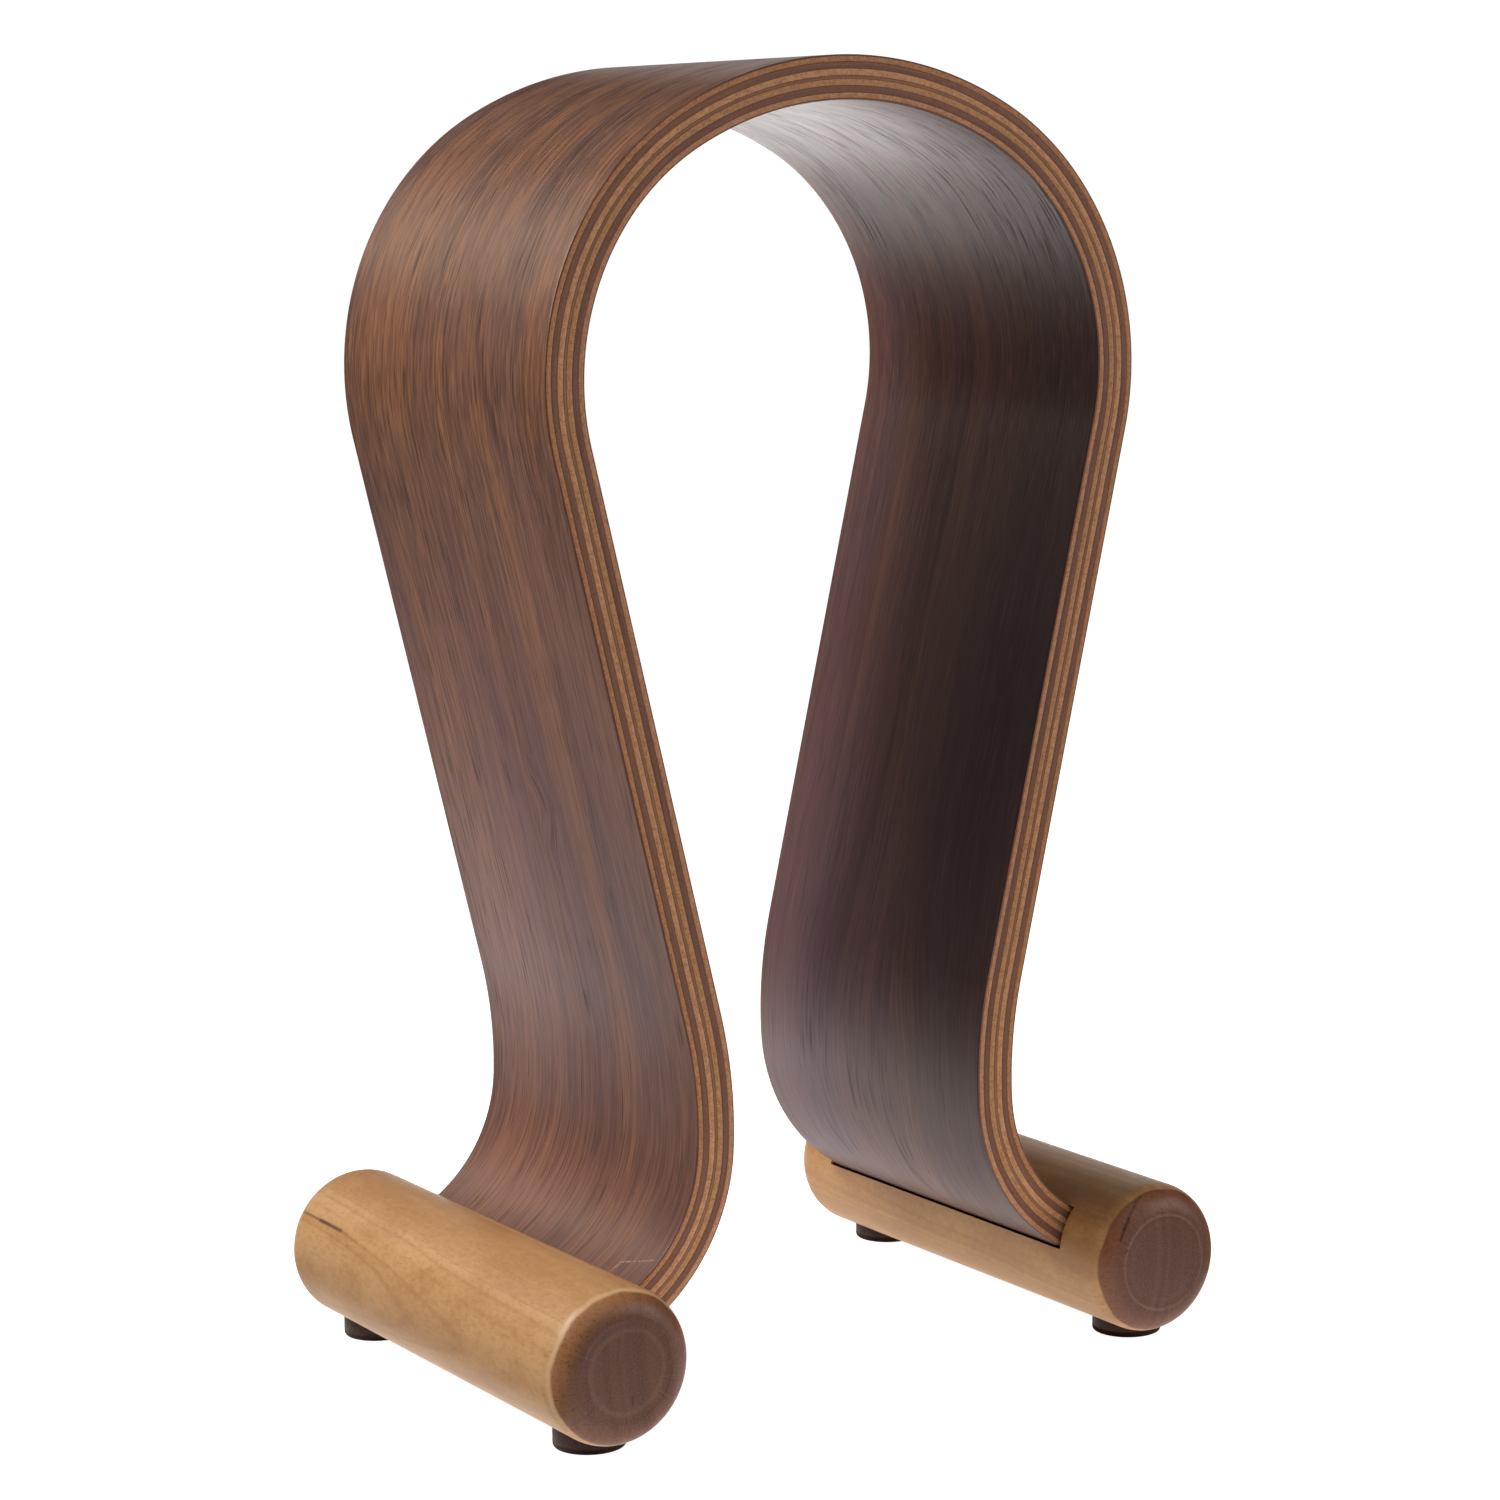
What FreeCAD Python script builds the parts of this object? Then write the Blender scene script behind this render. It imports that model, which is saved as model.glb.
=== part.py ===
"""Headphone stand: an omega-shaped band of bent plywood, its two ends let into round foot bars.

Millimetres. +Z is up, +X is to the right seen from the front, and the front faces -Y.
The origin is on the ground, at the centre of the stand's footprint.
"""
import FreeCAD, Part
import math
import os

Vector = FreeCAD.Vector

# Band, measured on the middle surface of its thickness
BAND_DEPTH = 80.0
BAND_TOP_Z = 252.4
CROWN_RADIUS = 73.3
CROWN_HALF_ANGLE = 29.0
SHOULDER_RADIUS = 52.8
LEG_LEAN = 13.5
LEG_LENGTH = 111.2
ANKLE_RADIUS = 90.0
ANKLE_TURN = 16.0
INSTEP_RADIUS = 34.8
TONGUE_DIP = 35.0
TONGUE_LENGTH = 11.8

# Laminations, from the outer face of the arch to the inner one
FACE_VENEER = 0.3
OUTER_LIGHT_PLY = 1.05
DARK_PLY = 1.3
INNER_LIGHT_PLY = 1.25
CENTRE_PLY = 0.6
LAYUP = [
    ("outer_face_veneer", FACE_VENEER),
    ("ply_2_light", OUTER_LIGHT_PLY),
    ("ply_3_dark", DARK_PLY),
    ("ply_4_light", INNER_LIGHT_PLY),
    ("ply_5_centre", CENTRE_PLY),
    ("ply_6_light", INNER_LIGHT_PLY),
    ("ply_7_dark", DARK_PLY),
    ("ply_8_light", OUTER_LIGHT_PLY),
    ("inner_face_veneer", FACE_VENEER),
]
BAND_THICKNESS = sum(thickness for _, thickness in LAYUP)

# Foot bars
FOOT_RADIUS = 15.2
FOOT_LENGTH = 112.0
FOOT_ROUNDING = 5.4
FOOT_X = 62.8
FOOT_Z = 17.1
SLOT_END_GAP = 1.5
SLOT_LOWER_GAP = 1.0

# Pads under the foot bars, each stuck into a shallow round recess
PAD_RADIUS = 7.0
PAD_HEIGHT = 4.1
PAD_EDGE_ROUNDING = 0.5
PAD_Y = 43.0
PAD_OUTSET = 0.8
RECESS_GAP = 0.25
ADHESIVE_RADIUS = 6.8
ADHESIVE_THICKNESS = 0.3

X_AXIS = Vector(1, 0, 0)
Y_AXIS = Vector(0, 1, 0)
Z_AXIS = Vector(0, 0, 1)
ORIGIN = Vector(0, 0, 0)


def polar(centre, radius, degrees):
    """Point in the XZ plane at this radius and angle from +X about a centre."""
    angle = math.radians(degrees)
    return centre + Vector(radius * math.cos(angle), 0, radius * math.sin(angle))


def arc(centre, radius, start, end):
    """Arc in the XZ plane between two angles in degrees."""
    stations = (start, (start + end) / 2, end)
    return Part.Arc(*[polar(centre, radius, angle) for angle in stations]).toShape()


# Arc centres and straight runs of the band's right half, from the crown down.
# Each bend starts in the direction in which the one before it ends.
CROWN_END = 90 - CROWN_HALF_ANGLE
LEG_SIDE = -LEG_LEAN
ANKLE_START = 180 - LEG_LEAN
ANKLE_END = ANKLE_START + ANKLE_TURN
INSTEP_END = 270 - TONGUE_DIP
CROWN_CENTRE = Vector(0, 0, BAND_TOP_Z - CROWN_RADIUS)
SHOULDER_CENTRE = polar(CROWN_CENTRE, CROWN_RADIUS - SHOULDER_RADIUS, CROWN_END)
LEG_RUN = polar(ORIGIN, LEG_LENGTH, LEG_SIDE - 90)
LEG_BOTTOM = polar(SHOULDER_CENTRE, SHOULDER_RADIUS, LEG_SIDE) + LEG_RUN
ANKLE_CENTRE = polar(LEG_BOTTOM, ANKLE_RADIUS, LEG_SIDE)
INSTEP_CENTRE = polar(ANKLE_CENTRE, ANKLE_RADIUS - INSTEP_RADIUS, ANKLE_END)
TONGUE_RUN = polar(ORIGIN, TONGUE_LENGTH, -TONGUE_DIP)


def tongue_tip(offset):
    """End of the right-hand tongue, at an offset outwards from the middle surface."""
    return polar(INSTEP_CENTRE, INSTEP_RADIUS - offset, INSTEP_END) + TONGUE_RUN


def mirrored(shape):
    """The same shape on the other side of the stand's YZ plane."""
    return shape.mirror(ORIGIN, X_AXIS)


def omega_edges(offset):
    """Edges of the whole band, from tongue to tongue, at an offset outwards from its middle."""
    crown = arc(CROWN_CENTRE, CROWN_RADIUS + offset, 180 - CROWN_END, CROWN_END)
    shoulder = arc(SHOULDER_CENTRE, SHOULDER_RADIUS + offset, CROWN_END, LEG_SIDE)
    leg_top = polar(SHOULDER_CENTRE, SHOULDER_RADIUS + offset, LEG_SIDE)
    leg = Part.LineSegment(leg_top, leg_top + LEG_RUN).toShape()
    ankle = arc(ANKLE_CENTRE, ANKLE_RADIUS - offset, ANKLE_START, ANKLE_END)
    instep = arc(INSTEP_CENTRE, INSTEP_RADIUS - offset, ANKLE_END, INSTEP_END)
    tip = tongue_tip(offset)
    tongue = Part.LineSegment(tip - TONGUE_RUN, tip).toShape()
    right = [shoulder, leg, ankle, instep, tongue]
    return [crown] + right + [mirrored(edge) for edge in right]


def lamination(outer_offset, inner_offset):
    """One sheet of the band, bent to the omega between two offsets from the middle surface."""
    tip = Part.LineSegment(tongue_tip(outer_offset), tongue_tip(inner_offset)).toShape()
    edges = omega_edges(outer_offset) + omega_edges(inner_offset) + [tip, mirrored(tip)]
    outline = Part.Wire(Part.__sortEdges__(edges))
    outline.translate(Y_AXIS * (-BAND_DEPTH / 2))
    return Part.Face(outline).extrude(Y_AXIS * BAND_DEPTH)


def slot():
    """Space cut in the right foot bar: it holds the tongue against its upper wall and its floor."""
    upper = tongue_tip(BAND_THICKNESS / 2)
    lower = tongue_tip(-BAND_THICKNESS / 2 - SLOT_LOWER_GAP)
    way_out = polar(ORIGIN, 2 * FOOT_RADIUS, 180 - TONGUE_DIP)
    corners = [upper, lower, lower + way_out, upper + way_out, upper]
    length = BAND_DEPTH + 2 * SLOT_END_GAP
    face = Part.Face(Part.makePolygon(corners))
    face.translate(Y_AXIS * (-length / 2))
    return face.extrude(Y_AXIS * length)


def pad_centres():
    """Ground points under the right foot bar's front and back pads."""
    return [Vector(FOOT_X + PAD_OUTSET, y, 0) for y in (-PAD_Y, PAD_Y)]


def foot_bar():
    """Right foot bar: a dowel with rounded ends, a slot for the tongue and two pad recesses."""
    start = Vector(FOOT_X, -FOOT_LENGTH / 2, FOOT_Z)
    dowel = Part.makeCylinder(FOOT_RADIUS, FOOT_LENGTH, start, Y_AXIS)
    rims = [edge for edge in dowel.Edges if abs(edge.BoundBox.YLength) < 1e-6]
    bar = dowel.makeFillet(FOOT_ROUNDING, rims).cut(slot())
    recess_top = PAD_HEIGHT + ADHESIVE_THICKNESS
    for centre in pad_centres():
        bar = bar.cut(Part.makeCylinder(PAD_RADIUS + RECESS_GAP, recess_top, centre, Z_AXIS))
    return bar


def pad(centre):
    """Felt pad: a disc whose lower rim is slightly rounded, with its sole on the ground."""
    disc = Part.makeCylinder(PAD_RADIUS, PAD_HEIGHT, centre, Z_AXIS)
    rim = [edge for edge in disc.Edges if edge.BoundBox.ZMax < 1e-6]
    return disc.makeFillet(PAD_EDGE_ROUNDING, rim)


def pad_adhesive(centre):
    """Self-adhesive disc between a pad and the floor of its recess."""
    base = centre + Z_AXIS * PAD_HEIGHT
    return Part.makeCylinder(ADHESIVE_RADIUS, ADHESIVE_THICKNESS, base, Z_AXIS)


def build():
    """Every separate piece of the stand, by its node name."""
    pieces = {}
    outer_offset = BAND_THICKNESS / 2
    for name, thickness in LAYUP:
        pieces[name] = lamination(outer_offset, outer_offset - thickness)
        outer_offset -= thickness
    right_bar = foot_bar()
    pieces["right_foot_bar"] = right_bar
    pieces["left_foot_bar"] = mirrored(right_bar)
    for end, centre in zip(("front", "back"), pad_centres()):
        for name, make in (("pad", pad), ("pad_adhesive", pad_adhesive)):
            pieces[f"{end}_right_{name}"] = make(centre)
            pieces[f"{end}_left_{name}"] = mirrored(make(centre))
    return pieces


def single_solid(shape):
    """The one solid that a piece is made of."""
    if len(shape.Solids) != 1 or not shape.isValid():
        raise ValueError("a piece must be exactly one valid solid")
    return shape.Solids[0]


os.makedirs("parts", exist_ok=True)
for node, piece in build().items():
    solid = single_solid(piece)
    solid.exportStep(f"parts/{node}.step")
    box = solid.BoundBox
    print(f"{node:22s} {solid.Volume:9.1f} mm3  z {box.ZMin:7.2f} to {box.ZMax:7.2f}")
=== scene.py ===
"""Headphone stand: its visual model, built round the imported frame.

Metres. +Z is up, +X is to the right seen from the front, and the front faces -Y.
The band is nine laminations swept along one omega-shaped path, each its own piece.
The foot bars are turned dowels with a slot for the band's tongue and recesses for the pads.
"""
import math
import random

import bmesh
import bpy
import numpy as np
from mathutils import Matrix, Vector, noise


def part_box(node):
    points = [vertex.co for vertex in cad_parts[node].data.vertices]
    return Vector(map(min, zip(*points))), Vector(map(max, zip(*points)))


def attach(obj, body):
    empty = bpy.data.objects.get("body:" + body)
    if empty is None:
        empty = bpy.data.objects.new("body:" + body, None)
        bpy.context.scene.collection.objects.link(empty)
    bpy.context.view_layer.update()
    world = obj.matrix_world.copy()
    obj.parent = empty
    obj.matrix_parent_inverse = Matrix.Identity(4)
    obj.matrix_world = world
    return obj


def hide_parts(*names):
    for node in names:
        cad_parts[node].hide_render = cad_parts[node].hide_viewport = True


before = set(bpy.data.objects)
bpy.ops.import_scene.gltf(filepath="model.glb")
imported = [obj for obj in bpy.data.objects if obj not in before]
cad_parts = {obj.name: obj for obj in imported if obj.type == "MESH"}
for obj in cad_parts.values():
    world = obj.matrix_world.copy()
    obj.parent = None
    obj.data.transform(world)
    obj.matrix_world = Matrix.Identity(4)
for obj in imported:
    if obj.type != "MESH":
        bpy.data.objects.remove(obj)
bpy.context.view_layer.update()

MM = 0.001

# Bends and straight runs of the band's middle surface, from the crown's top down the right
# leg: a bend has its radius and its turn in degrees, a straight run its length and no turn.
BAND_RUNS = [
    (73.3 * MM, -29.0),
    (52.8 * MM, -74.5),
    (111.2 * MM, 0.0),
    (90.0 * MM, 16.0),
    (34.8 * MM, 52.5),
    (11.8 * MM, 0.0),
]
STATION_STEP = 1.6 * MM
LAYERS = [
    ("outer_face_veneer", "outer_veneer", "walnut_veneer"),
    ("ply_2_light", "light_ply_2", "light_ply"),
    ("ply_3_dark", "dark_ply_3", "dark_ply"),
    ("ply_4_light", "light_ply_4", "light_ply"),
    ("ply_5_centre", "centre_ply_5", "centre_ply"),
    ("ply_6_light", "light_ply_6", "light_ply"),
    ("ply_7_dark", "dark_ply_7", "dark_ply"),
    ("ply_8_light", "light_ply_8", "light_ply"),
    ("inner_face_veneer", "inner_veneer", "walnut_veneer"),
]
VENEER_EASE = 0.26 * MM
GLUE_LINE_EASE = 0.05 * MM
EDGE_SUPPORT = 0.3 * MM
PLY_WAVER = 0.05 * MM
VENEER_WAVER = 0.02 * MM
WAVER_LENGTHS = (0.031, 0.057, 0.113)
WAVER_SEED = 7
# A veneer shows its face where its outline runs further across than this share of its run
# through the thickness, and its edge elsewhere.
FACE_SHARE = 0.6

# Foot bars
END_ROUNDING = 5.4 * MM
END_DISC_STEPS = {"left": 0.04 * MM, "right": 0.12 * MM}
# Shape of the step's lip: distance outwards from the flat's rim, and share of the step.
END_DISC_LIP = [(-0.5 * MM, 1.0), (-0.28 * MM, 1.0), (-0.16 * MM, 0.5), (-0.04 * MM, 0.08),
                (0.1 * MM, 0.0)]
ROUNDING_STEPS = 18
SIDE_STEPS = 12
SLOT_END_GAP = 1.5 * MM
SLOT_LOWER_GAP = 0.55 * MM
SLOT_REACH = 30 * MM
RECESS_GAP = 0.25 * MM
BELOW_GROUND = -1 * MM

# Pads
PAD_RIM_ROUNDING = 0.5 * MM
PAD_RIM_STEPS = 6
PAD_TOP_EASE = 0.2 * MM
PAD_ROWS = 14
FELT_UNEVENNESS = 0.10 * MM
FELT_CLUMP = 0.45 * MM
FELT_SEED_STEP = 17.3
FILM_EDGE = 0.97

# Facets round the turned shapes, and the angles in degrees above which an edge stays sharp
BAR_FACETS = 180
PAD_FACETS = 160
DISC_FACETS = 96
SHARP_SHEET = 30
SHARP_TURNED = 35
SHARP_CUT = 32

# Studio
SURROUNDINGS = 0.06
AIM = (0, 0, 0.13)
DOME_RADIUS = 8.0
FLOOR_HALF = 7.5
FLOOR_Z = -0.3 * MM
TABLE_HALF = 6.0
TABLE_Z = -0.1 * MM
LIGHT_TABLE_Z = 1 * MM
SIDE_LIGHTS_Z = 0.47
WHITE = (1.0, 1.0, 1.0)
WARM = (1.0, 0.9, 0.8)
PEACH = (1.0, 0.9, 0.85)
AMBER = (1.0, 0.84, 0.68)

# Camera: place in metres, its three turns in radians, focal length and sensor in millimetres
CAMERA_PLACE = (-0.40999, -0.64456, 0.23492)
CAMERA_YAW, CAMERA_PITCH, CAMERA_ROLL = 0.5681, -0.1489, -0.0127
FOCAL_LENGTH = 92.387
SENSOR_WIDTH = 36.0
CLIP_NEAR, CLIP_FAR = 0.01, 50.0


def srgb(red, green, blue):
    """Linear RGBA of an 8-bit sRGB colour."""
    channels = [value / 255 for value in (red, green, blue)]
    linear = [c / 12.92 if c <= 0.04045 else ((c + 0.055) / 1.055) ** 2.4 for c in channels]
    return (*linear, 1.0)


# ---------------------------------------------------------------- band


def half_path():
    """Stations down the band's right half: arc length, x, z and heading in radians."""
    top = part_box("ply_5_centre")[1].z
    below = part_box("ply_6_light")[1].z  # the centre ply's lower side
    along, x, z, heading = 0.0, 0.0, (top + below) / 2, 0.0
    rows = [(along, x, z, heading)]
    for size, turn in BAND_RUNS:
        angle = math.radians(turn)
        length = abs(angle) * size if turn else size
        count = math.ceil(length / STATION_STEP)
        part = angle / count
        chord = 2 * size * math.sin(abs(part) / 2) if turn else length / count
        for _ in range(count):
            x += chord * math.cos(heading + part / 2)
            z += chord * math.sin(heading + part / 2)
            heading += part
            along += length / count
            rows.append((along, x, z, heading))
    return np.array(rows)


def band_path():
    """Arc length from the crown, middle-surface points and outward normals, left tip to right."""
    right = half_path()
    along, x, z, heading = right.T
    points = np.stack([x, z], 1)
    normals = np.stack([-np.sin(heading), np.cos(heading)], 1)
    mirror = np.array([-1.0, 1.0])
    along = np.concatenate([-along[:0:-1], along])
    points = np.concatenate([points[:0:-1] * mirror, points])
    normals = np.concatenate([normals[:0:-1] * mirror, normals])
    return along, points, normals


def layer_offsets():
    """Outward offset of each boundary between laminations, from the outer face to the inner."""
    tops = [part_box(node)[1].z for node, _, _ in LAYERS]
    middle = (tops[4] + tops[5]) / 2
    outward = [top - middle for top in tops]
    return outward + [-outward[0]]


def waver(along, amplitude, rng):
    """Slow unevenness of a glue line along the band."""
    total = np.zeros_like(along)
    for wavelength in WAVER_LENGTHS:
        total += np.sin(2 * math.pi * (along / wavelength + rng.random()))
    return amplitude * total / len(WAVER_LENGTHS)


def quarter(centre, radius, start, steps):
    """Points of a rounded corner in the (depth, thickness) plane."""
    angles = [math.radians(start - 90 * k / steps) for k in range(steps + 1)]
    return [(centre[0] + radius * math.cos(a), centre[1] + radius * math.sin(a)) for a in angles]


def layer_outline(thickness, half_depth, outer_ease, inner_ease):
    """Closed outline of a lamination's section, clockwise from the middle of its outer face."""
    outer, inner, side = thickness - outer_ease, inner_ease, half_depth
    outline = [(0.0, thickness), (side - outer_ease - EDGE_SUPPORT, thickness)]
    outline += quarter((side - outer_ease, outer), outer_ease, 90, 4)
    outline += quarter((side - inner_ease, inner), inner_ease, 0, 2)
    outline += [(side - inner_ease - EDGE_SUPPORT, 0.0), (0.0, 0.0)]
    mirrored = [(-y, t) for y, t in outline[1:-1]]
    return outline + mirrored[::-1]


def swept_vertices(outline, upper, lower):
    """Vertices of the outline at every station of the path, between two wavering boundaries."""
    _, points, normals = PATH
    thickness = float(np.median(upper - lower))
    vertices = np.zeros((len(points), len(outline), 3))
    for j, (y, t) in enumerate(outline):
        offset = lower + (upper - lower) * (t / thickness)
        vertices[:, j, 0] = points[:, 0] + normals[:, 0] * offset
        vertices[:, j, 1] = y
        vertices[:, j, 2] = points[:, 1] + normals[:, 1] * offset
    return vertices.reshape(-1, 3).tolist()


def swept_faces(outline, base, is_veneer):
    """Faces between the stations and over both ends, with their material slots and UVs."""
    along = PATH[0]
    stations, ring = len(along), len(outline)
    faces, slots, uvs = [], [], []
    for i in range(stations - 1):
        for j in range(ring):
            k = (j + 1) % ring
            (y0, t0), (y1, t1) = outline[j], outline[k]
            on_face = is_veneer and abs(y1 - y0) > abs(t1 - t0) * FACE_SHARE
            faces.append((i * ring + j, i * ring + k, (i + 1) * ring + k, (i + 1) * ring + j))
            slots.append(0 if on_face or not is_veneer else 1)
            v0, v1 = (y0, y1) if on_face else (base + t0, base + t1)
            uvs += [(along[i], v0), (along[i], v1), (along[i + 1], v1), (along[i + 1], v0)]
    for i in (0, stations - 1):
        faces.append(tuple(i * ring + j for j in range(ring)))
        slots.append(1 if is_veneer else 0)
        uvs += [(along[i], y) for y, _ in outline]
    return faces, slots, uvs


def swept_layer(name, boundaries, half_depth, eases, is_veneer):
    """One lamination: its outline swept along the path, with arc length and depth as its UVs."""
    upper, lower = boundaries
    outline = layer_outline(float(np.median(upper - lower)), half_depth, *eases)
    faces, slots, uvs = swept_faces(outline, float(np.median(lower)), is_veneer)
    mesh = bpy.data.meshes.new(name)
    mesh.from_pydata(swept_vertices(outline, upper, lower), [], faces)
    layer = mesh.uv_layers.new(name="grain")
    layer.data.foreach_set("uv", np.array(uvs, np.float32).ravel())
    mesh.polygons.foreach_set("material_index", slots)
    return finished(name, mesh, SHARP_SHEET)


def finished(name, mesh, sharp_degrees):
    """The mesh as an object with outward faces, shaded smooth except across sharp edges."""
    shape = bmesh.new()
    shape.from_mesh(mesh)
    bmesh.ops.recalc_face_normals(shape, faces=shape.faces)
    for face in shape.faces:
        face.smooth = True
    shape.to_mesh(mesh)
    shape.free()
    mesh.set_sharp_from_angle(angle=math.radians(sharp_degrees))
    obj = bpy.data.objects.new(name, mesh)
    bpy.context.scene.collection.objects.link(obj)
    return obj


# ---------------------------------------------------------------- turned pieces


def turned(name, profile, origin, axis, facets):
    """A closed turned shape: profile points are (radius, height along the axis)."""
    axis = Vector(axis)
    side = axis.orthogonal().normalized()
    other = axis.cross(side)
    shape = bmesh.new()
    rings = []
    for radius, height in profile:
        centre = Vector(origin) + axis * height
        if radius < 1e-7:
            rings.append([shape.verts.new(centre)])
            continue
        ring = []
        for k in range(facets):
            angle = 2 * math.pi * k / facets
            ring.append(shape.verts.new(
                centre + (side * math.cos(angle) + other * math.sin(angle)) * radius))
        rings.append(ring)
    for lower, upper in zip(rings, rings[1:]):
        for k in range(facets):
            corners = [lower[k % len(lower)], lower[(k + 1) % len(lower)],
                       upper[(k + 1) % len(upper)], upper[k % len(upper)]]
            shape.faces.new(list(dict.fromkeys(corners)))
    mesh = bpy.data.meshes.new(name)
    shape.to_mesh(mesh)
    shape.free()
    return finished(name, mesh, SHARP_TURNED)


def end_profile(radius, step):
    """Half of a foot bar's profile from the middle of its end to its side, inwards from y = 0."""
    flat = radius - END_ROUNDING
    profile = [(0.0, step), (flat * 0.5, step)]
    profile += [(flat + reach, step * share) for reach, share in END_DISC_LIP]
    for k in range(1, ROUNDING_STEPS + 1):
        angle = math.radians(90 * k / ROUNDING_STEPS)
        profile.append((flat + END_ROUNDING * math.sin(angle),
                        END_ROUNDING * (1 - math.cos(angle))))
    return profile


def cutter(name, corners, length):
    """A prism along Y between two depths, for cutting: corners are (x, z)."""
    shape = bmesh.new()
    front = [shape.verts.new((x, -length / 2, z)) for x, z in corners]
    back = [shape.verts.new((x, length / 2, z)) for x, z in corners]
    shape.faces.new(front)
    shape.faces.new(back[::-1])
    for k in range(len(corners)):
        j = (k + 1) % len(corners)
        shape.faces.new([front[j], front[k], back[k], back[j]])
    mesh = bpy.data.meshes.new(name)
    shape.to_mesh(mesh)
    shape.free()
    return finished(name, mesh, SHARP_SHEET)


def slot_corners(side):
    """Section of the slot that holds a tongue: it is as thick as the band plus a gap below."""
    _, points, normals = PATH
    index = -1 if side > 0 else 0
    tip, out = Vector(points[index]), Vector(normals[index])
    back = Vector((-out.y, out.x)) * side
    half = OFFSETS[0]
    upper = tip + out * half
    lower = tip - out * (half + SLOT_LOWER_GAP)
    reach = back * SLOT_REACH
    return [tuple(upper), tuple(lower), tuple(lower + reach), tuple(upper + reach)]


def cut(obj, tools):
    """Cuts the tools out of the object's mesh and removes them."""
    for tool in tools:
        modifier = obj.modifiers.new("cut", "BOOLEAN")
        modifier.operation = "DIFFERENCE"
        modifier.solver = "EXACT"
        modifier.object = tool
    bpy.context.view_layer.update()
    evaluated = obj.evaluated_get(bpy.context.evaluated_depsgraph_get())
    mesh = bpy.data.meshes.new_from_object(evaluated)
    obj.modifiers.clear()
    obj.data = mesh
    for tool in tools:
        bpy.data.objects.remove(tool)
    mesh.set_sharp_from_angle(angle=math.radians(SHARP_CUT))


def recess_tool(end, word):
    """Cutter for the recess over a pad: a little wider than it and as deep as its adhesive."""
    low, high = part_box(f"{end}_{word}_pad")
    middle = (low + high) / 2
    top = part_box(f"{end}_{word}_pad_adhesive")[1].z
    reach = (high.x - low.x) / 2 + RECESS_GAP
    profile = [(0.0, BELOW_GROUND), (reach, BELOW_GROUND), (reach, top), (0.0, top)]
    return turned("recess_tool", profile, (middle.x, middle.y, 0), (0, 0, 1), DISC_FACETS)


def foot_bar(name, node, side):
    """A foot bar: turned dowel, slot for the tongue, and a recess over each pad."""
    low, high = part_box(node)
    centre = (low + high) / 2
    radius = (high.x - low.x) / 2
    length = high.y - low.y
    word = "right" if side > 0 else "left"
    half = end_profile(radius, END_DISC_STEPS[word])
    body = [(radius, length * k / SIDE_STEPS) for k in range(1, SIDE_STEPS)]
    profile = half + body + [(r, length - h) for r, h in half[::-1]]
    start = (centre.x, low.y, high.z - radius)
    bar = turned(name, profile, start, (0, 1, 0), BAR_FACETS)
    tools = [cutter("slot_tool", slot_corners(side), BAND_DEPTH + 2 * SLOT_END_GAP)]
    tools += [recess_tool(end, word) for end in ("front", "back")]
    cut(bar, tools)
    return bar


def felt_pad(name, node, seed):
    """A felt pad: a cut disc with a soft lower rim and slightly uneven sides."""
    low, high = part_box(node)
    centre = (low + high) / 2
    radius, height = (high.x - low.x) / 2, high.z
    profile = [(0.0, 0.0), (radius * 0.5, 0.0), (radius - PAD_RIM_ROUNDING, 0.0)]
    for k in range(1, PAD_RIM_STEPS + 1):
        angle = math.radians(90 * k / PAD_RIM_STEPS)
        profile.append((radius - PAD_RIM_ROUNDING * (1 - math.sin(angle)),
                        PAD_RIM_ROUNDING * (1 - math.cos(angle))))
    wall = height - PAD_TOP_EASE - PAD_RIM_ROUNDING
    profile += [(radius, PAD_RIM_ROUNDING + wall * k / PAD_ROWS) for k in range(1, PAD_ROWS + 1)]
    profile += [(radius - PAD_TOP_EASE, height), (radius * 0.5, height), (0.0, height)]
    pad = turned(name, profile, (centre.x, centre.y, low.z), (0, 0, 1), PAD_FACETS)
    for vertex in pad.data.vertices:
        flat = Vector((vertex.co.x - centre.x, vertex.co.y - centre.y, 0))
        if flat.length > radius * 0.9 and vertex.co.z > 0.1 * MM:
            seat = (vertex.co - centre) / FELT_CLUMP + Vector((seed * FELT_SEED_STEP, 0, 0))
            depth = 0.5 + 0.5 * noise.noise(seat)
            vertex.co -= flat.normalized() * (depth * FELT_UNEVENNESS)
    return pad


def film_disc(name, node):
    """The self-adhesive disc between a pad and its recess."""
    low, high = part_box(node)
    centre, radius = (low + high) / 2, (high.x - low.x) / 2
    height = high.z - low.z
    edge = radius * FILM_EDGE
    profile = [(0.0, 0.0), (edge, 0.0), (radius, height * 0.25), (radius, height * 0.75),
               (edge, height), (0.0, height)]
    return turned(name, profile, (centre.x, centre.y, low.z), (0, 0, 1), DISC_FACETS)


# ---------------------------------------------------------------- materials

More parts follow.
